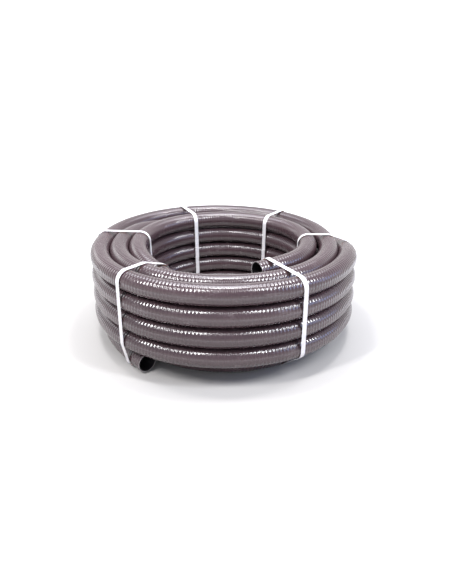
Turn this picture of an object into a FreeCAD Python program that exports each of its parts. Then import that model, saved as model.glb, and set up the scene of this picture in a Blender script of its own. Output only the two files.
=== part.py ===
"""Waste hose coil: 25 m of 50 mm spiral-reinforced PVC hose, in three columns and strapped with six bands.

Millimetres, +Z up. The origin is at the centre of the coil, on the ground that the straps rest on.
The winding angle grows along the hose from its upper end. It is 0 at -Y and turns towards +X.
"""
import FreeCAD, Part
import bisect
import math
import os

os.makedirs("parts", exist_ok=True)
Vector = FreeCAD.Vector

# ---- hose
HOSE_DIAMETER = 50.0
HOSE_WALL = 3.0
HOSE_RADIUS = HOSE_DIAMETER / 2
BORE_RADIUS = HOSE_RADIUS - HOSE_WALL

# ---- coil: turns lie side by side at COLUMN_PITCH and on each other at LAYER_PITCH
INNER_TURN_RADIUS = 239.0
COLUMN_PITCH = HOSE_DIAMETER + 0.3
LAYER_PITCH = HOSE_DIAMETER + 1.4  # a turn that climbs needs more height than a level one
LAYERS = 5
OUTER_SPREAD = 2.0  # each outer turn lies this much outside the one on top of it
SQUARENESS = 0.005  # the turns are pulled out a little between the straps

# ---- winding angles, in degrees, where the hose changes column or layer
COLUMN_MOVES = [(1670, 1790), (3315, 3468)]  # inner to middle on the bottom, middle to outer on the top
INNER_DROP = (282, 372)  # each inner turn goes down a layer here
MIDDLE_CLIMB = (1978, 2056)  # each middle turn goes up a layer here
OUTER_DROP = (3665, 3728)  # each outer turn goes down a layer here
LAST_DROP = (4745, 4808)  # the last outer turn goes down on to the ground
TURN = 360.0

# ---- the two ends
UPPER_END = 21.0  # winding angle of the upper end
UPPER_TUCK = 19.0  # the upper end lies this much inside the inner turns
UPPER_TUCK_UNTIL = 110.0
LOWER_TUCK = 18.0  # the lowest outer turn lies this much inside the turns above it
LOWER_TUCK_OVER = (4895, 4955)
LOWER_END = 5007.5  # winding angle of the lower end
LOWER_END_RADIUS = 344.0

# ---- route
POINTS_PER_TURN = 15
ROUTE_POINTS = 208  # the points at equal angles; the lower end is one more
ARC_SHARE = 0.45  # how much of a run an arc takes at each end
POINT_STEP = TURN / POINTS_PER_TURN
SAMPLES_PER_CORNER = 24
CORNER = 1 / math.cos(math.radians(POINT_STEP / 2))  # a route corner lies this much outside its turn

# ---- straps
STRAP_ANGLES = [29.5, 89.0, 143.0, 205.0, 265.0, 319.5]
STRAP_WIDTH = 12.0
STRAP_THICKNESS = 0.8
STRAP_CLEARANCE = 1.2
STRAP_INSIDE = HOSE_RADIUS + STRAP_CLEARANCE
FLAT_CORNER = 0.05  # a corner of a strap's path that stands out by less than this is left out
GROUND_TO_CENTRE = STRAP_INSIDE + STRAP_THICKNESS  # height of the lowest turns' centre line


def eased(angle, start, stop):
    """Goes smoothly from 0 at the angle start to 1 at the angle stop."""
    share = min(max((angle - start) / (stop - start), 0.0), 1.0)
    return (1 - math.cos(math.pi * share)) / 2


def each_turn(angle, window, turns):
    """Adds up one eased step in each of several turns, all at the same place on the coil."""
    return sum(eased(angle, window[0] + TURN * turn, window[1] + TURN * turn) for turn in range(turns))


def turn_radius(angle):
    columns = sum(eased(angle, *move) for move in COLUMN_MOVES)
    radius = INNER_TURN_RADIUS + COLUMN_PITCH * columns
    radius += OUTER_SPREAD * each_turn(angle, OUTER_DROP, LAYERS - 2)
    radius -= UPPER_TUCK * (1 - eased(angle, UPPER_END, UPPER_TUCK_UNTIL))
    radius -= LOWER_TUCK * eased(angle, *LOWER_TUCK_OVER)
    return radius * (1 - SQUARENESS * math.cos(4 * math.radians(angle)))


def turn_height(angle):
    layers = LAYERS - 1
    layers -= each_turn(angle, INNER_DROP, LAYERS - 1)
    layers += each_turn(angle, MIDDLE_CLIMB, LAYERS - 1)
    layers -= each_turn(angle, OUTER_DROP, LAYERS - 2)
    layers -= eased(angle, *LAST_DROP)
    return GROUND_TO_CENTRE + LAYER_PITCH * layers


def place(radius, angle, height):
    turned = math.radians(angle)
    return Vector(radius * math.sin(turned), -radius * math.cos(turned), height)


def hose_route():
    """The corners of the hose's centre line, from the upper end to the lower one."""
    route = []
    for number in range(ROUTE_POINTS):
        angle = UPPER_END + POINT_STEP * number
        route.append(place(turn_radius(angle) * CORNER, angle, turn_height(angle)))
    route.append(place(LOWER_END_RADIUS, LOWER_END, turn_height(LOWER_END)))
    return route


def corner_arc(before, corner, after):
    """The tangent arc that rounds a corner of the route, and its radius."""
    back, ahead = before - corner, after - corner
    shorter = min(back.Length, ahead.Length)
    back.normalize()
    ahead.normalize()
    reach = ARC_SHARE * shorter
    half_turn = (math.pi - back.getAngle(ahead)) / 2
    radius = reach / math.tan(half_turn)
    inwards = back + ahead
    inwards.normalize()
    crest = corner + inwards * (radius / math.cos(half_turn) - radius)
    return Part.Arc(corner + back * reach, crest, corner + ahead * reach), radius


def run_middle(route, number):
    """Half-way along the run that starts at a corner of the route: two lengths of hose meet there."""
    return (route[number] + route[number + 1]) / 2


def centre_line(route, first, last):
    """The path round the corners first to last. It meets an end length where that length starts to bend."""
    edges, radii = [], []
    here = None if first == 1 else run_middle(route, first - 1)
    for number in range(first, last + 1):
        arc, radius = corner_arc(route[number - 1], route[number], route[number + 1])
        if here is not None:
            edges.append(Part.LineSegment(here, arc.StartPoint).toShape())
        edges.append(arc.toShape())
        radii.append(radius)
        here = arc.EndPoint
    if last < len(route) - 2:
        edges.append(Part.LineSegment(here, run_middle(route, last)).toShape())
    return Part.Wire(edges), radii


def hollow_section(centre, direction):
    outside = Part.Wire(Part.makeCircle(HOSE_RADIUS, centre, direction))
    bore = Part.Wire(Part.makeCircle(BORE_RADIUS, centre, direction))
    return outside, bore


def hose_turn(route, first, last):
    """One length of hose: its outside swept along the path, less its bore swept along the same path."""
    path, radii = centre_line(route, first, last)
    start = path.OrderedVertexes[0].Point
    outside, bore = hollow_section(start, route[first] - route[first - 1])
    solids = []
    for section in (outside, bore):
        solids.append(path.makePipeShell([section], True, False))
    shape = solids[0].cut(solids[1])
    return shape, path.Length, radii


def hose_end(mouth, bend_start):
    """The straight last length of hose, from its cut mouth to where its run starts to bend."""
    run = bend_start - mouth
    shell = Part.makeCylinder(HOSE_RADIUS, run.Length, mouth, run)
    return shell.cut(Part.makeCylinder(BORE_RADIUS, run.Length, mouth, run)), run.Length


def centre_samples(route):
    """Points all along the hose's smooth centre line, as (winding angle, radius, height)."""
    middles = [route[0]] + [run_middle(route, number) for number in range(1, len(route) - 2)] + [route[-1]]
    samples = []
    for number, (before, after) in enumerate(zip(middles, middles[1:])):
        for step in range(SAMPLES_PER_CORNER):
            share = step / SAMPLES_PER_CORNER
            point = before * (1 - share) ** 2 + route[number + 1] * 2 * share * (1 - share) + after * share**2
            angle = math.degrees(math.atan2(point.x, -point.y))
            turns = round((UPPER_END + POINT_STEP * (number + share) - angle) / TURN)
            samples.append((angle + TURN * turns, math.hypot(point.x, point.y), point.z))
    return samples


def crossing(samples, angle):
    """The centre line's (radius, height) at a winding angle."""
    number = bisect.bisect(samples, (angle,))
    before, after = samples[number - 1], samples[number]
    share = (angle - before[0]) / (after[0] - before[0])
    return tuple(start + (stop - start) * share for start, stop in zip(before[1:], after[1:]))


def section_centres(samples, strap_angle):
    """Where every turn crosses a strap, as (radius, height), at the strap's middle and both its edges."""
    centres = []
    angle = strap_angle
    while angle < LOWER_END:
        if angle > UPPER_END:
            half_width = math.degrees(STRAP_WIDTH / 2 / INNER_TURN_RADIUS)
            centres += [crossing(samples, angle + side * half_width) for side in (-1, 0, 1)]
        angle += TURN
    return centres


def convex_hull(points):
    """The hull's corners, anticlockwise."""
    def half(ordered):
        chain = []
        for point in ordered:
            while len(chain) > 1 and cross(chain[-2], chain[-1], point) <= 1e-9:
                chain.pop()
            chain.append(point)
        return chain[:-1]

    ordered = sorted(set(points))
    return half(ordered) + half(ordered[::-1])


def without_flat_corners(corners):
    kept = list(corners)
    number = 0
    while number < len(kept):
        before, corner, after = (kept[(number + step) % len(kept)] for step in (-1, 0, 1))
        if cross(before, corner, after) > FLAT_CORNER * math.dist(before, after):
            number += 1
        else:
            kept.pop(number)
    return kept


def cross(a, b, c):
    return (b[0] - a[0]) * (c[1] - a[1]) - (b[1] - a[1]) * (c[0] - a[0])


def band_outline(corners, offset):
    """A closed wire round equal circles at the corners: straight sides and an arc at each corner."""
    edges = []
    count = len(corners)
    for number in range(count):
        a, b, c = (corners[(number + step) % count] for step in (-1, 0, 1))
        into, out = math.atan2(b[1] - a[1], b[0] - a[0]), math.atan2(c[1] - b[1], c[0] - b[0])
        turned = (out - into) % (2 * math.pi)
        rim = [on_circle(b, offset, into - math.pi / 2 + turned * share) for share in (0, 0.5, 1)]
        edges.append(Part.Arc(*rim).toShape())
        side_end = on_circle(c, offset, out - math.pi / 2)
        edges.append(Part.LineSegment(rim[2], side_end).toShape())
    return Part.Wire(edges)


def on_circle(centre, offset, angle):
    return Vector(centre[0] + offset * math.cos(angle), 0, centre[1] + offset * math.sin(angle))


def strap(samples, strap_angle):
    """A closed band pulled tight round all the turns: made in the XZ plane, then turned to its angle."""
    corners = without_flat_corners(convex_hull(section_centres(samples, strap_angle)))
    outer = Part.Face(band_outline(corners, STRAP_INSIDE + STRAP_THICKNESS))
    inner = Part.Face(band_outline(corners, STRAP_INSIDE))
    band = outer.cut(inner).extrude(Vector(0, STRAP_WIDTH, 0))
    band.translate(Vector(0, -STRAP_WIDTH / 2, 0))
    band.rotate(Vector(0, 0, 0), Vector(0, 0, 1), strap_angle - 90)
    return band


def save(shape, node):
    solid = shape.Solids[0]
    if len(shape.Solids) != 1 or not solid.isValid():
        raise ValueError(node + " is not one valid solid")
    solid.exportStep("parts/" + node + ".step")
    return solid.Volume


def main():
    route = hose_route()
    hose_length, hose_volume, radii = 0.0, 0.0, []
    first_arc, last_arc = corner_arc(*route[:3])[0], corner_arc(*route[-3:])[0]
    ends = {
        "hose_upper_end": (route[0], first_arc.StartPoint),
        "hose_lower_end": (route[-1], last_arc.EndPoint),
    }
    for node, (mouth, bend_start) in ends.items():
        shape, length = hose_end(mouth, bend_start)
        hose_volume += save(shape, node)
        hose_length += length
        print("%s: mouth %s, length %.2f" % (node, mouth, length), "axis", (mouth - bend_start).normalize())
    corners = len(route) - 2
    for number, first in enumerate(range(1, corners + 1, POINTS_PER_TURN), 1):
        last = min(first + POINTS_PER_TURN - 1, corners)
        shape, length, turn_radii = hose_turn(route, first, last)
        hose_volume += save(shape, "hose_turn_%02d" % number)
        hose_length += length
        radii += turn_radii
    samples = centre_samples(route)
    for number, angle in enumerate(STRAP_ANGLES, 1):
        save(strap(samples, angle), "strap_%d" % number)
    section = math.pi * (HOSE_RADIUS**2 - BORE_RADIUS**2)
    fullness = hose_volume / (section * hose_length)
    print("hose length %.1f mm, volume / (section x length) %.5f" % (hose_length, fullness))
    print("bend radii from %.0f to %.0f mm" % (min(radii), max(radii)))


main()
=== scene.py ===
"""Looks of the waste hose coil: ribbed PVC hose and embossed bands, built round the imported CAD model.

Metres, +Z up, in the CAD model's frame: the origin is at the centre of the coil, on the ground.
The winding angle grows along the hose from its upper end. It is 0 at -Y and turns towards +X.
"""
import math

import bmesh
import bpy
import numpy as np
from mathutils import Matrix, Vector


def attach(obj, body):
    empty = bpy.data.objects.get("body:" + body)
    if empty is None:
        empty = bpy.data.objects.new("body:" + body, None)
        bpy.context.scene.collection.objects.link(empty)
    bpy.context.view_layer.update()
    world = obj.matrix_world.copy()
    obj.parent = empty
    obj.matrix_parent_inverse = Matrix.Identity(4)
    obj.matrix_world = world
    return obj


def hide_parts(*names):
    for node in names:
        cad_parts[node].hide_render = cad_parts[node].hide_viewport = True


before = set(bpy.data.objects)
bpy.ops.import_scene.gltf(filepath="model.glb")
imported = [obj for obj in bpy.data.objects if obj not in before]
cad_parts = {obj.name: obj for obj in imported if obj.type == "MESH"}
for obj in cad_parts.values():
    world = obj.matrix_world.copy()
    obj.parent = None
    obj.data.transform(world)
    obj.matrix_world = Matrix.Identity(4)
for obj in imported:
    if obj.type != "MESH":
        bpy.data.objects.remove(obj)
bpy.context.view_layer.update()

MM = 0.001
CORNER_ANGLE = math.radians(55)

# ---- hose and coil, as in the CAD model, in millimetres and degrees
HOSE_DIAMETER = 50.0
HOSE_WALL = 3.0
HOSE_RADIUS = HOSE_DIAMETER / 2
BORE_RADIUS = HOSE_RADIUS - HOSE_WALL
INNER_TURN_RADIUS = 239.0
COLUMN_PITCH = HOSE_DIAMETER + 0.3
LAYER_PITCH = HOSE_DIAMETER + 1.4
LAYERS = 5
OUTER_SPREAD = 2.0  # each outer turn lies this much outside the one on top of it
SQUARENESS = 0.005  # the turns are pulled out a little between the straps
TURN = 360.0

# ---- winding angles where the hose changes column or layer
COLUMN_MOVES = [(1670, 1790), (3315, 3468)]
INNER_DROP = (282, 372)  # each inner turn goes down a layer here
MIDDLE_CLIMB = (1978, 2056)  # each middle turn goes up a layer here
OUTER_DROP = (3665, 3728)  # each outer turn goes down a layer here
LAST_DROP = (4745, 4808)  # the last outer turn goes down on to the ground

# ---- the two ends
UPPER_END = 21.0  # winding angle of the upper end
UPPER_TUCK = 19.0  # the upper end lies this much inside the inner turns
UPPER_TUCK_UNTIL = 110.0
LOWER_TUCK = 18.0  # the lowest outer turn lies this much inside the turns above it
LOWER_TUCK_OVER = (4895, 4955)
LOWER_END = 5007.5  # winding angle of the lower end
LOWER_END_RADIUS = 344.0

# ---- route
POINTS_PER_TURN = 15
ROUTE_POINTS = 208  # the points at equal angles; the lower end is one more
POINT_STEP = TURN / POINTS_PER_TURN
CORNER = 1 / math.cos(math.radians(POINT_STEP / 2))  # a route corner lies this much outside its turn
STRAIGHT_SHARE = 0.55  # how much of its end run an end length of hose takes

# ---- straps
STRAP_ANGLES = [29.5, 89.0, 143.0, 205.0, 265.0, 319.5]
STRAP_WIDTH = 12.0
STRAP_THICKNESS = 0.8
STRAP_CLEARANCE = 1.2
STRAP_INSIDE = HOSE_RADIUS + STRAP_CLEARANCE
FLAT_CORNER = 0.05  # a corner of a strap's path that stands out by less than this is left out
GROUND_TO_CENTRE = STRAP_INSIDE + STRAP_THICKNESS  # height of the lowest turns' centre line

# ---- the hose's surface, in millimetres
RIB_PITCH = 8.3  # one turn of the rigid spiral in the wall
RIB_DEPTH = 0.75
RIB_SHARPNESS = 1.25  # over 1 makes the crests narrower than the grooves
ROWS_PER_RIB = 5  # rows of points over one turn of the spiral
ROW_STEP = RIB_PITCH * MM / ROWS_PER_RIB  # in metres
AROUND = 24  # points round the wall
WALL_INSIDE_STEP = 24.0
LINER_RADIUS = BORE_RADIUS + 1.55
LINER_GAP = 0.05  # between the liner and the wall
LINER_STEP = 15.0
LINER_AROUND = 18
CUT_AND_GLINT_REACH = 0.4  # how far the pale cut faces show along the hose; their pale is partly their own tone, partly a painted highlight
SAME_PLACE = 0.001  # points nearer than this are one point
LINE_RESOLUTION = 40  # points that the centre line has for each corner of the route

# ---- the bands' surface, in millimetres
STRAP_CELL = 1.2  # half a period of the embossed diamonds
STRAP_RELIEF = 0.05
STRAP_EDGE = 0.25  # rounding of the band's edges
WELD_LENGTH = 42.0
WELD_GAP = 0.02
NEARLY_STRAIGHT = 1e-9
FACES_EYE = -0.98  # the band faces the coil's eye where its normal's radial part is under this

# ---- camera, in metres
CAMERA_PLACE = (0.0061, -1.1595, 0.6334)
CAMERA_DOWN = math.radians(25.6)
CAMERA_LENS = 34.3
SENSOR_WIDTH = 36.0

# ---- floor, surroundings and lights, in metres and watts
FLOOR_RADIUS = 1.45
FLOOR_SIDES = 96
FLOOR_FADE = (0.6, 1.25)  # the floor turns from its near colour to its far one between these radii
ROOM_FADE = (0.05, 0.6)  # the surroundings turn from white to the ceiling's colour between these heights
FRONT_DIMMING = 0.75
ROOM_STRENGTH = 1.2
LIGHT_TARGET = (0, 0, 0.15)

# ---- colours
PVC_DARK = (0.042, 0.0237, 0.0282, 1)
PVC_LIGHT = (0.057, 0.0337, 0.0392, 1)
PVC_FLOW_LINES = (0.026, 0.016, 0.0185, 1)
PVC_RUBBED = (0.15, 0.12, 0.128, 1)
# Pale cut faces: partly the cut's own lighter tone, partly a painted highlight for the glint on the rim.
PVC_CUT_AND_GLINT = (0.42, 0.385, 0.39, 1)
DUST = (0.32, 0.29, 0.29, 1)
# Painted shade: the bore's near-black colours stand in for the shadow inside a grey PVC hose.
BORE_SHADE_DARK = (0.012, 0.011, 0.012, 1)
BORE_SHADE_LIGHT = (0.026, 0.023, 0.025, 1)
BAND_DARK = (0.58, 0.548, 0.56, 1)
BAND_LIGHT = (0.68, 0.645, 0.66, 1)
BAND_GRIME = (0.5, 0.47, 0.46, 1)
FLOOR_DARK = (0.4, 0.385, 0.375, 1)
FLOOR_LIGHT = (0.43, 0.415, 0.405, 1)
FLOOR_FAR = (0.97, 0.97, 0.97, 1)
WHITE = (1, 1, 1, 1)
CEILING = (0.42, 0.45, 0.52, 1)
COOL_LIGHT = (0.93, 0.96, 1.0)
SKY_LIGHT = (0.92, 0.94, 1.0)
BLUE_LIGHT = (0.4, 0.55, 1.0)


# ---------------------------------------------------------------- the hose's route

def eased(angle, start, stop):
    """Goes smoothly from 0 at the angle start to 1 at the angle stop."""
    share = min(max((angle - start) / (stop - start), 0.0), 1.0)
    return (1 - math.cos(math.pi * share)) / 2


def each_turn(angle, window, turns):
    """Adds up one eased step in each of several turns, all at the same place on the coil."""
    return sum(eased(angle, window[0] + TURN * turn, window[1] + TURN * turn) for turn in range(turns))


def turn_radius(angle):
    columns = sum(eased(angle, *move) for move in COLUMN_MOVES)
    radius = INNER_TURN_RADIUS + COLUMN_PITCH * columns
    radius += OUTER_SPREAD * each_turn(angle, OUTER_DROP, LAYERS - 2)
    radius -= UPPER_TUCK * (1 - eased(angle, UPPER_END, UPPER_TUCK_UNTIL))
    radius -= LOWER_TUCK * eased(angle, *LOWER_TUCK_OVER)
    return radius * (1 - SQUARENESS * math.cos(4 * math.radians(angle)))


def turn_height(angle):
    layers = LAYERS - 1
    layers -= each_turn(angle, INNER_DROP, LAYERS - 1)
    layers += each_turn(angle, MIDDLE_CLIMB, LAYERS - 1)
    layers -= each_turn(angle, OUTER_DROP, LAYERS - 2)
    layers -= eased(angle, *LAST_DROP)
    return GROUND_TO_CENTRE + LAYER_PITCH * layers


def place(radius, angle, height):
    """A point of the hose's route, in metres."""
    turned = math.radians(angle)
    return (MM * radius * math.sin(turned), -MM * radius * math.cos(turned), MM * height)


def hose_route():
    """The corners of the hose's centre line, from the upper end to the lower one."""
    route = []
    for number in range(ROUTE_POINTS):
        angle = UPPER_END + POINT_STEP * number
        route.append(place(turn_radius(angle) * CORNER, angle, turn_height(angle)))
    route.append(place(LOWER_END_RADIUS, LOWER_END, turn_height(LOWER_END)))
    return route


# ---------------------------------------------------------------- camera

def make_camera():
    data = bpy.data.cameras.new("camera")
    data.sensor_fit = "HORIZONTAL"
    data.sensor_width = SENSOR_WIDTH
    data.lens = CAMERA_LENS
    camera = bpy.data.objects.new("camera", data)
    camera.location = CAMERA_PLACE
    camera.rotation_euler = (math.pi / 2 - CAMERA_DOWN, 0, 0)
    bpy.context.collection.objects.link(camera)
    bpy.context.scene.camera = camera


# ---------------------------------------------------------------- the hose's line

class HoseLine:
    """The hose's centre line: points along it, how far along each one is, and its two cross directions."""

    def __init__(self, route):
        curve = bpy.data.curves.new("hose_line", "CURVE")
        curve.dimensions = "3D"
        curve.resolution_u = LINE_RESOLUTION
        spline = curve.splines.new("NURBS")
        spline.points.add(len(route) - 1)
        for point, corner in zip(spline.points, route):
            point.co = (*corner, 1)
        spline.order_u = 3
        spline.use_endpoint_u = True
        holder = bpy.data.objects.new("hose_line", curve)
        mesh = bpy.data.meshes.new_from_object(holder)
        self.points = np.array([vertex.co[:] for vertex in mesh.vertices])
        bpy.data.objects.remove(holder)
        bpy.data.curves.remove(curve)
        bpy.data.meshes.remove(mesh)

        steps = np.linalg.norm(np.diff(self.points, axis=0), axis=1)
        self.along = np.concatenate([[0.0], np.cumsum(steps)])
        self.length = float(self.along[-1])
        ahead = np.gradient(self.points, axis=0)
        ahead /= np.linalg.norm(ahead, axis=1)[:, None]
        outward = np.cross(ahead, [0.0, 0.0, 1.0])
        outward /= np.linalg.norm(outward, axis=1)[:, None]
        self.frames = np.hstack([self.points, outward, np.cross(outward, ahead)])
        self.winding = np.degrees(np.unwrap(np.arctan2(self.points[:, 0], -self.points[:, 1])))
        self.radius = np.hypot(self.points[:, 0], self.points[:, 1]) / MM
        self.height = self.points[:, 2] / MM

    def surface(self, along, angle, radius):
        """Points on a tube round the line. The angle is 0 on the coil's outer side and 90 degrees on top."""
        here = np.stack([np.interp(along, self.along, column) for column in self.frames.T], axis=-1)
        centre, outward, up = here[..., 0:3], here[..., 3:6], here[..., 6:9]
        across = np.cos(angle)[..., None] * outward + np.sin(angle)[..., None] * up
        return centre + radius[..., None] * across

    def crossing(self, angle):
        """The line's (radius, height) at a winding angle, in millimetres."""
        values = (np.interp(angle, self.winding, column) for column in (self.radius, self.height))
        return tuple(float(value) for value in values)

    def at_corner(self, corner, corners):
        """How far along the line the middle of the run after a corner of the route is."""
        return float(np.interp(corner / corners, np.linspace(0, 1, len(self.along)), self.along))


# ---------------------------------------------------------------- meshes

def new_piece(name, points, faces, smooth=True):
    """A mesh object with sharp edges only where it turns a real corner."""
    mesh = bpy.data.meshes.new(name)
    mesh.from_pydata([tuple(point) for point in points], [], faces)
    mesh.validate()
    mesh.polygons.foreach_set("use_smooth", [smooth] * len(mesh.polygons))
    mesh.set_sharp_from_angle(angle=CORNER_ANGLE)
    piece = bpy.data.objects.new(name, mesh)
    bpy.context.collection.objects.link(piece)
    return piece


def merge_doubled_points(piece):
    """Merges points that are in one place, and marks the sharp edges again."""
    cleaner = bmesh.new()
    cleaner.from_mesh(piece.data)
    bmesh.ops.remove_doubles(cleaner, verts=cleaner.verts, dist=SAME_PLACE * MM)
    cleaner.to_mesh(piece.data)
    cleaner.free()
    piece.data.set_sharp_from_angle(angle=CORNER_ANGLE)


def store_vectors(piece, name, vectors):
    """Gives each point of a piece a vector that its material can read."""
    attribute = piece.data.attributes.new(name, "FLOAT_VECTOR", "POINT")
    attribute.data.foreach_set("vector", np.array(vectors, dtype=np.float32).ravel())


def store_hose_places(piece, line, along, angle):
    """Each point's place on the hose, for patterns that follow it, and its distance from the nearer end."""
    radius = HOSE_RADIUS * MM
    places = np.stack([along, radius * np.cos(angle), radius * np.sin(angle)], axis=-1)
    store_vectors(piece, "hose_place", places)
    from_end = np.minimum(along, line.length - along)
    attribute = piece.data.attributes.new("hose_end", "FLOAT", "POINT")
    attribute.data.foreach_set("value", from_end.astype(np.float32))


def ring_grid(rings, around, first=0):
    """The index of each point of a tube's rings, with each ring's first point again after its last one."""
    grid = first + np.arange(rings * around).reshape(rings, around)
    return np.hstack([grid, grid[:, :1]]).tolist()


def side_faces(grid, facing_out):
    """The faces between each ring of a grid and the next."""
    faces = []
    for ring, after in zip(grid, grid[1:]):
        for spoke in range(len(ring) - 1):
            a, b, c, d = ring[spoke], ring[spoke + 1], after[spoke + 1], after[spoke]
            faces.append((a, d, c, b) if facing_out else (a, b, c, d))
    return faces


def end_faces(outer, inner):
    """The faces at a tube's two ends, from its outer grid to its inner one."""
    faces = []
    for spoke in range(len(inner[0]) - 1):
        faces.append((outer[0][spoke], outer[0][spoke + 1], inner[0][spoke + 1], inner[0][spoke]))
        faces.append((outer[-1][spoke + 1], outer[-1][spoke], inner[-1][spoke], inner[-1][spoke + 1]))
    return faces


# ---------------------------------------------------------------- the liner, over the whole length

def make_liner(line):
    """The hose's inner layer, one smooth tube from mouth to mouth."""
    rings = int(line.length / (LINER_STEP * MM)) + 1
    along = np.linspace(0.0, line.length, rings)
    angle = np.linspace(0.0, 2 * math.pi, LINER_AROUND, endpoint=False)
    along, angle = (side.ravel() for side in np.meshgrid(along, angle, indexing="ij"))
    inside, outside = (
        line.surface(along, angle, np.full_like(along, radius * MM))
        for radius in (BORE_RADIUS, LINER_RADIUS)
    )
    inner = ring_grid(rings, LINER_AROUND)
    outer = ring_grid(rings, LINER_AROUND, len(inside))
    faces = []
    for pair in zip(side_faces(inner, facing_out=False), side_faces(outer, facing_out=True)):
        faces += pair
    faces += end_faces(outer, inner)
    piece = new_piece("hose_liner", np.concatenate([inside, outside]), faces)
    store_hose_places(piece, line, np.tile(along, 2), np.tile(angle, 2))
    return piece


# ---------------------------------------------------------------- the ribbed wall, in lengths

def rib_radius(along, angle):
    """The outside radius, highest on the crest over each turn of the rigid spiral."""
    turns = along / (RIB_PITCH * MM) - angle / (2 * math.pi)
    crest = (0.5 - 0.5 * np.cos(2 * math.pi * turns)) ** RIB_SHARPNESS
    return (HOSE_RADIUS - RIB_DEPTH * (1 - crest)) * MM


def spiral_rows(first_row, last_row):
    """The wall's outside: distances along the hose, angles round it, and the grid of their indices.

    A row of points follows the spiral, so once round the hose it ends on the row ROWS_PER_RIB further on.
    The seams are the points that are left open by that, at the first and the last row.
    """
    along, angle, index = [], [], {}
    for spoke in range(AROUND):
        extra = ROWS_PER_RIB if spoke == 0 else 0
        for row in range(first_row, last_row + extra + 1):
            index[row, spoke] = len(along)
            along.append((row + ROWS_PER_RIB * spoke / AROUND) * ROW_STEP)
            angle.append(2 * math.pi * spoke / AROUND)
    grid = []
    for row in range(first_row, last_row + 1):
        grid.append([index[row, spoke] for spoke in range(AROUND)] + [index[row + ROWS_PER_RIB, 0]])
    first_seam = [index[first_row + row, 0] for row in range(ROWS_PER_RIB + 1)]
    last_seam = [index[last_row + row, 0] for row in range(ROWS_PER_RIB + 1)]
    return np.array(along), np.array(angle), grid, first_seam, last_seam


def inside_rings(line, first_row, last_row):
    """The wall's inside: rings from half way up the slant of one end to half way up the other's."""
    half_rib = ROWS_PER_RIB / 2
    start, stop = np.clip([(row + half_rib) * ROW_STEP for row in (first_row, last_row)], 0.0, line.length)
    rings = max(int((stop - start) / (WALL_INSIDE_STEP * MM)), 1) + 1
    along = np.linspace(start, stop, rings)
    angle = np.linspace(0.0, 2 * math.pi, AROUND, endpoint=False)
    along, angle = (side.ravel() for side in np.meshgrid(along, angle, indexing="ij"))
    return along, angle, rings


def make_wall(line, name, first_row, last_row):
    """One length of ribbed wall. Rows past a mouth are held in the mouth's plane."""
    along, angle, outer, first_seam, last_seam = spiral_rows(first_row, last_row)
    along = np.clip(along, 0.0, line.length)
    outside = line.surface(along, angle, rib_radius(along, angle))
    inside_along, inside_angle, rings = inside_rings(line, first_row, last_row)
    inside_radius = np.full_like(inside_along, (LINER_RADIUS + LINER_GAP) * MM)
    inside = line.surface(inside_along, inside_angle, inside_radius)
    inner = ring_grid(rings, AROUND, len(outside))

    faces = side_faces(outer, facing_out=True) + side_faces(inner, facing_out=False)
    faces += end_faces(outer, inner)
    faces += [(after, before, inner[0][0]) for before, after in zip(first_seam, first_seam[1:])]
    faces += [(before, after, inner[-1][0]) for before, after in zip(last_seam, last_seam[1:])]
    piece = new_piece(name, np.concatenate([outside, inside]), faces)
    all_along = np.concatenate([along, inside_along])
    all_angle = np.concatenate([angle, inside_angle])
    store_hose_places(piece, line, all_along, all_angle)
    merge_doubled_points(piece)
    return piece


def make_walls(line, route):
    """A length of wall for each of the CAD model's lengths of hose, and the node that it stands for."""
    corners = len(route) - 2
    first_run = math.dist(route[0], route[1])
    last_run = math.dist(route[-2], route[-1])
    turn_corners = range(POINTS_PER_TURN, corners, POINTS_PER_TURN)
    joins = [STRAIGHT_SHARE * first_run]
    joins += [line.at_corner(corner, corners) for corner in turn_corners]
    joins.append(line.length - STRAIGHT_SHARE * last_run)
    rows = [-ROWS_PER_RIB]
    rows += [round(join / ROW_STEP) for join in joins]
    rows.append(math.ceil(line.length / ROW_STEP))
    node_names = ["hose_turn_%02d" % number for number in range(1, len(joins))]
    node_names = ["hose_upper_end", *node_names, "hose_lower_end"]
    walls = []
    for node_name, first_row, last_row in zip(node_names, rows, rows[1:]):
        wall = make_wall(line, node_name.replace("hose", "wall"), first_row, last_row)
        walls.append((wall, node_name))
    return walls


# ---------------------------------------------------------------- straps

def section_centres(line, strap_angle):
    """Where every turn crosses a strap, as (radius, height), at the strap's middle and both its edges."""
    half_width = math.degrees(STRAP_WIDTH / 2 / INNER_TURN_RADIUS)
    centres = []
    angle = strap_angle
    while angle < LOWER_END:
        if angle > UPPER_END:
            centres += [line.crossing(angle + side * half_width) for side in (-1, 0, 1)]
        angle += TURN
    return centres


def cross(a, b, c):
    """Twice the area of the triangle a, b, c, positive where it turns left."""
    return (b[0] - a[0]) * (c[1] - a[1]) - (b[1] - a[1]) * (c[0] - a[0])


def convex_hull(points):
    """The hull's corners, anticlockwise."""
    def half(ordered):
        chain = []
        for point in ordered:
            while len(chain) > 1 and cross(chain[-2], chain[-1], point) <= NEARLY_STRAIGHT:
                chain.pop()
            chain.append(point)
        return chain[:-1]

    ordered = sorted(set(points))
    return half(ordered) + half(ordered[::-1])


def without_flat_corners(corners):
    kept = list(corners)
    number = 0
    while number < len(kept):
        before, corner, after = (kept[(number + step) % len(kept)] for step in (-1, 0, 1))
        if cross(before, corner, after) > FLAT_CORNER * math.dist(before, after):
            number += 1
        else:
            kept.pop(number)
    return kept


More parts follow.
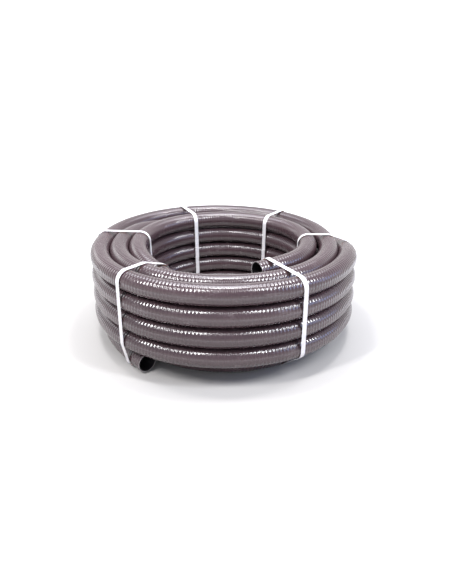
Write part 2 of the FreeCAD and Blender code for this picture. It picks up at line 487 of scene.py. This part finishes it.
def rounded_line(corners):
    """The band's inner line as (radius, height, direction of its outward normal), with arcs at corners."""
    line = []
    count = len(corners)
    for number in range(count):
        a, b, c = (corners[(number + step) % count] for step in (-1, 0, 1))
        into = math.atan2(b[1] - a[1], b[0] - a[0])
        out = math.atan2(c[1] - b[1], c[0] - b[0])
        turned = (out - into) % (2 * math.pi)
        pieces = max(round(turned * STRAP_INSIDE / STRAP_CELL), 1)
        for piece in range(pieces + 1):
            normal = into - math.pi / 2 + turned * piece / pieces
            radius = b[0] + STRAP_INSIDE * math.cos(normal)
            height = b[1] + STRAP_INSIDE * math.sin(normal)
            line.append((radius, height, normal))
    return line


def in_cells(line):
    """The closed line in steps of about a cell. Their number is even, so that the embossing meets itself."""
    fine = []
    for here, after in zip(line, line[1:] + line[:1]):
        length = math.hypot(after[0] - here[0], after[1] - here[1])
        pieces = max(round(length / STRAP_CELL), 1)
        swing = (after[2] - here[2] + math.pi) % (2 * math.pi) - math.pi
        for piece in range(pieces):
            share = piece / pieces
            radius = here[0] + (after[0] - here[0]) * share
            height = here[1] + (after[1] - here[1]) * share
            fine.append((radius, height, here[2] + swing * share))
    if len(fine) % 2:
        fine.pop()
    return fine


def band_section():
    """The band's cross section as (across, height above the inner line, relief direction), anticlockwise."""
    half, edge, top = STRAP_WIDTH / 2, STRAP_EDGE, STRAP_THICKNESS
    flat = STRAP_WIDTH - 2 * edge
    cells = round(flat / STRAP_CELL)
    across = [-half + edge + flat * cell / cells for cell in range(cells + 1)]
    underside = [(value, 0.0, -1) for value in across]
    upperside = [(value, top, 1) for value in reversed(across)]
    right_edge = [(half, edge, 0), (half, top - edge, 0)]
    return [(-half, edge, 0), *underside, *right_edge, *upperside, (-half, top - edge, 0)]


def sweep_band(line, angle, section, lift=0.0, closed=True):
    """A band along a line in the upright plane at a winding angle: points, their places on it, faces."""
    turned = math.radians(angle)
    radial = Vector((math.sin(turned), -math.cos(turned), 0))
    sideways = Vector((math.cos(turned), math.sin(turned), 0))
    points, places, faces = [], [], []
    for station, (radius, height, normal) in enumerate(line):
        out = radial * math.cos(normal) + Vector((0, 0, math.sin(normal)))
        base = radial * radius + Vector((0, 0, height))
        for number, (across, above, relief) in enumerate(section):
            sunk = STRAP_RELIEF * relief if (station + number) % 2 else 0.0
            points.append((base + sideways * across + out * (above + lift - sunk)) * MM)
            places.append((station * STRAP_CELL * MM, across * MM, (above + lift) * MM))
    stations = [list(range(first, first + len(section))) for first in range(0, len(points), len(section))]
    following = stations[1:] + stations[:1] if closed else stations[1:]
    for here, after in zip(stations, following):
        for a, b, c, d in zip(here, after, after[1:] + after[:1], here[1:] + here[:1]):
            faces.append((a, b, c, d))
    if not closed:
        faces += [stations[0], stations[-1][::-1]]
    return points, places, faces


def make_strap(hose_line, number, angle):
    """A band round all the turns. Its end is welded on over itself, on the side that faces the eye."""
    line = in_cells(rounded_line(without_flat_corners(convex_hull(section_centres(hose_line, angle)))))
    section = band_section()
    points, places, faces = sweep_band(line, angle, section)
    middle = (LAYERS - 1) * LAYER_PITCH / 2 + GROUND_TO_CENTRE
    tail = [
        (radius, height, normal) for radius, height, normal in line
        if math.cos(normal) < FACES_EYE and abs(height - middle) < WELD_LENGTH / 2
    ]
    lift = STRAP_THICKNESS + WELD_GAP
    tail_points, tail_places, tail_faces = sweep_band(tail, angle, section, lift, closed=False)
    faces += [tuple(corner + len(points) for corner in face) for face in tail_faces]
    strap = new_piece("band_%d" % number, points + tail_points, faces)
    store_vectors(strap, "band_place", places + tail_places)
    return strap


# ---------------------------------------------------------------- materials

def set_input(material, socket, value):
    """Links the input to another node's output, or gives it a plain value."""
    if isinstance(value, bpy.types.NodeSocket):
        material.node_tree.links.new(value, socket)
    else:
        socket.default_value = value


def node(material, kind, **values):
    """A new node. Values whose names are inputs set those inputs, and the others are the node's settings."""
    made = material.node_tree.nodes.new(kind)
    for name, value in values.items():
        if name in made.inputs:
            set_input(material, made.inputs[name], value)
        else:
            setattr(made, name, value)
    return made


def calculated(material, operation, *values):
    """The result of a sum on other nodes' outputs and plain numbers."""
    made = node(material, "ShaderNodeMath", operation=operation)
    for socket, value in zip(made.inputs, values):
        set_input(material, socket, value)
    return made.outputs["Value"]


def place_on(material, attribute):
    """Each point's place on its piece, as it was stored there."""
    return node(material, "ShaderNodeAttribute", attribute_name=attribute).outputs["Vector"]


def stretched(material, source, scale):
    """The coordinate, multiplied by a scale in each direction."""
    return node(material, "ShaderNodeMapping", Vector=source, Scale=scale).outputs["Vector"]


def noise_value(material, place, scale, detail=2.0, roughness=0.5):
    settings = {"Scale": scale, "Detail": detail, "Roughness": roughness}
    return node(material, "ShaderNodeTexNoise", Vector=place, **settings).outputs["Fac"]


def remap(material, source, low, high, to_low=0.0, to_high=1.0):
    """The source's values from low to high turned into values from to_low to to_high, and no further."""
    limits = {"From Min": low, "From Max": high, "To Min": to_low, "To Max": to_high}
    return node(material, "ShaderNodeMapRange", clamp=True, Value=source, **limits).outputs["Result"]


def blend_colours(material, share, first, second):
    """The first colour where the share is 0, and the second where it is 1."""
    made = node(material, "ShaderNodeMix", data_type="RGBA")
    colours = [socket for socket in made.inputs if socket.type == "RGBA"]
    set_input(material, made.inputs["Factor"], share)
    set_input(material, colours[0], first)
    set_input(material, colours[1], second)
    return next(socket for socket in made.outputs if socket.type == "RGBA")


def bumpy(material, height, strength, distance):
    made = node(material, "ShaderNodeBump", Height=height, Strength=strength, Distance=distance)
    return made.outputs["Normal"]


def new_material(name):
    material = bpy.data.materials.new(name)
    material.use_nodes = True
    material.node_tree.nodes.clear()
    return material


def finish(material, inputs):
    """Gives the material its shader, whose inputs are given by name."""
    shader = node(material, "ShaderNodeBsdfPrincipled", **inputs)
    node(material, "ShaderNodeOutputMaterial", Surface=shader.outputs["BSDF"])
    return material


def with_pale_cut_and_glint(material, colour):
    """The colour, but pale at the hose's two cut faces: partly the fresh cut's lighter tone, partly a
    painted highlight for the glint on the rim.
    """
    from_end = node(material, "ShaderNodeAttribute", attribute_name="hose_end").outputs["Fac"]
    share = remap(material, from_end, 0.0, CUT_AND_GLINT_REACH * MM, 1.0, 0.0)
    return blend_colours(material, share, colour, PVC_CUT_AND_GLINT)


def grey_pvc():
    """Glossy mauve-grey PVC, with slow shifts of shade, flow lines, rubbed patches and dust specks."""
    material = new_material("grey_pvc")
    hose = place_on(material, "hose_place")
    slow = noise_value(material, stretched(material, hose, (1.0, 6.0, 6.0)), 3.0)
    lines = noise_value(material, stretched(material, hose, (0.12, 1.0, 1.0)), 900.0, 3.0)
    rubbed = noise_value(material, stretched(material, hose, (0.35, 1.0, 1.0)), 55.0, 5.0, 0.65)
    specks = noise_value(material, hose, 1100.0, 1.0)
    colour = blend_colours(material, remap(material, slow, 0.3, 0.7), PVC_DARK, PVC_LIGHT)
    colour = blend_colours(material, remap(material, lines, 0.35, 0.7, 0.0, 0.35), colour, PVC_FLOW_LINES)
    colour = blend_colours(material, remap(material, rubbed, 0.58, 0.78, 0.0, 0.45), colour, PVC_RUBBED)
    colour = blend_colours(material, remap(material, specks, 0.74, 0.82, 0.0, 0.5), colour, DUST)
    return finish(material, {
        "Base Color": with_pale_cut_and_glint(material, colour),
        "Roughness": remap(material, rubbed, 0.4, 0.75, 0.16, 0.32),
        "Specular IOR Level": 0.5,
        "Coat Weight": 0.5,
        "Coat Roughness": 0.1,
        "Normal": bumpy(material, noise_value(material, hose, 420.0, 3.0), 0.12, 0.0004),
    })


def bore_painted_shade():
    """The bore: painted shade, near-black where the real bore is the hose's grey PVC in shadow; smooth, with
    faint patches, and faint rings where the spiral shows through.
    """
    material = new_material("bore_painted_shade")
    hose = place_on(material, "hose_place")
    patches = noise_value(material, stretched(material, hose, (1.0, 3.0, 3.0)), 30.0, 3.0)
    in_ribs = stretched(material, hose, (2 * math.pi / (RIB_PITCH * MM), 0.0, 0.0))
    phase = node(material, "ShaderNodeSeparateXYZ", Vector=in_ribs).outputs["X"]
    return finish(material, {
        "Base Color": blend_colours(material, remap(material, patches, 0.35, 0.7), BORE_SHADE_DARK, BORE_SHADE_LIGHT),
        "Roughness": remap(material, patches, 0.3, 0.7, 0.35, 0.5),
        "Normal": bumpy(material, calculated(material, "SINE", phase), 0.3, 0.0003),
    })


def white_band():
    """White polypropylene strapping: fine draw lines along the band and a little grime."""
    material = new_material("white_band")
    band = place_on(material, "band_place")
    grime = noise_value(material, band, 40.0, 4.0, 0.6)
    lines = noise_value(material, stretched(material, band, (0.03, 1.0, 1.0)), 1500.0, 2.0)
    colour = blend_colours(material, remap(material, lines, 0.35, 0.65), BAND_DARK, BAND_LIGHT)
    colour = blend_colours(material, remap(material, grime, 0.6, 0.8, 0.0, 0.25), colour, BAND_GRIME)
    return finish(material, {
        "Base Color": colour,
        "Roughness": remap(material, grime, 0.3, 0.7, 0.38, 0.52),
        "Subsurface Weight": 0.05,
        "Normal": bumpy(material, lines, 0.15, 0.0002),
    })


def pale_floor():
    """A pale floor, a little darker and warmer round the coil."""
    material = new_material("pale_floor")
    here = node(material, "ShaderNodeTexCoord").outputs["Object"]
    outwards = node(material, "ShaderNodeVectorMath", operation="LENGTH", Vector=here).outputs["Value"]
    near = blend_colours(material, noise_value(material, here, 1.5, 2.0), FLOOR_DARK, FLOOR_LIGHT)
    return finish(material, {
        "Base Color": blend_colours(material, remap(material, outwards, *FLOOR_FADE), near, FLOOR_FAR),
        "Roughness": 0.7,
    })


# ---------------------------------------------------------------- floor and lights

def make_floor(material):
    turns = [2 * math.pi * side / FLOOR_SIDES for side in range(FLOOR_SIDES)]
    rim = [(FLOOR_RADIUS * math.cos(turn), FLOOR_RADIUS * math.sin(turn), 0) for turn in turns]
    floor = new_piece("floor", rim, [tuple(range(FLOOR_SIDES))], smooth=False)
    floor.data.materials.append(material)


def make_light(name, location, size, power, colour=(1, 1, 1)):
    data = bpy.data.lights.new(name, "AREA")
    data.shape = "RECTANGLE"
    data.size, data.size_y = size
    data.energy = power
    data.color = colour
    light = bpy.data.objects.new(name, data)
    light.location = location
    light.rotation_euler = (Vector(LIGHT_TARGET) - Vector(location)).to_track_quat("-Z", "Y").to_euler()
    bpy.context.collection.objects.link(light)


def make_lights():
    """Small bright lights in front and above, for the glints, and broad ones overhead and at the sides."""
    make_light("key_left", (-1.4, -1.1, 2.2), (0.2, 1.0), 58)
    make_light("key_right", (1.65, -0.95, 2.2), (0.2, 1.0), 55, COOL_LIGHT)
    make_light("key_middle", (0.15, -1.4, 2.3), (0.18, 0.7), 14)
    make_light("top_left", (-0.4, -0.05, 2.3), (0.2, 0.3), 20)
    make_light("top_right", (0.45, 0.0, 2.3), (0.2, 0.3), 20)
    make_light("overhead", (0.0, 0.7, 2.4), (2.2, 1.0), 50, SKY_LIGHT)
    make_light("window_right", (2.6, -0.8, 1.3), (1.2, 0.8), 15, BLUE_LIGHT)
    make_light("window_left", (-2.4, 1.2, 1.6), (1.2, 0.8), 9)


def make_room():
    """Surroundings: white at the floor and behind the coil, dimmer overhead and high in front."""
    world = bpy.data.worlds.new("white_room")
    world.use_nodes = True
    direction = node(world, "ShaderNodeTexCoord").outputs["Generated"]
    split = node(world, "ShaderNodeSeparateXYZ", Vector=direction)
    dimming = calculated(world, "MULTIPLY_ADD", split.outputs["Y"], -FRONT_DIMMING, 1.0)
    height = calculated(world, "MULTIPLY", split.outputs["Z"], dimming)
    colour = blend_colours(world, remap(world, height, *ROOM_FADE), WHITE, CEILING)
    background = world.node_tree.nodes["Background"]
    set_input(world, background.inputs["Color"], colour)
    set_input(world, background.inputs["Strength"], ROOM_STRENGTH)
    bpy.context.scene.world = world
    bpy.context.scene.view_settings.view_transform = "Standard"


# ---------------------------------------------------------------- the whole

def dress_hose():
    """The liner and its walls. The liner is the cord, and each wall stands for a CAD length of hose."""
    route = hose_route()
    line = HoseLine(route)
    liner = make_liner(line)
    walls = make_walls(line, route)
    # The liner's near-black colour is painted shade for the inside of the hose.
    liner.data.materials.append(bore_painted_shade())
    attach(liner, "root")
    pvc = grey_pvc()
    for wall, node_name in walls:
        wall.data.materials.append(pvc)
        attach(wall, "root")
        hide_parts(node_name)
    return line


def dress_straps(hose_line):
    band = white_band()
    for number, angle in enumerate(STRAP_ANGLES, 1):
        strap = make_strap(hose_line, number, angle)
        strap.data.materials.append(band)
        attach(strap, "root")
        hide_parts("strap_%d" % number)


make_camera()
dress_straps(dress_hose())
make_floor(pale_floor())
make_lights()
make_room()
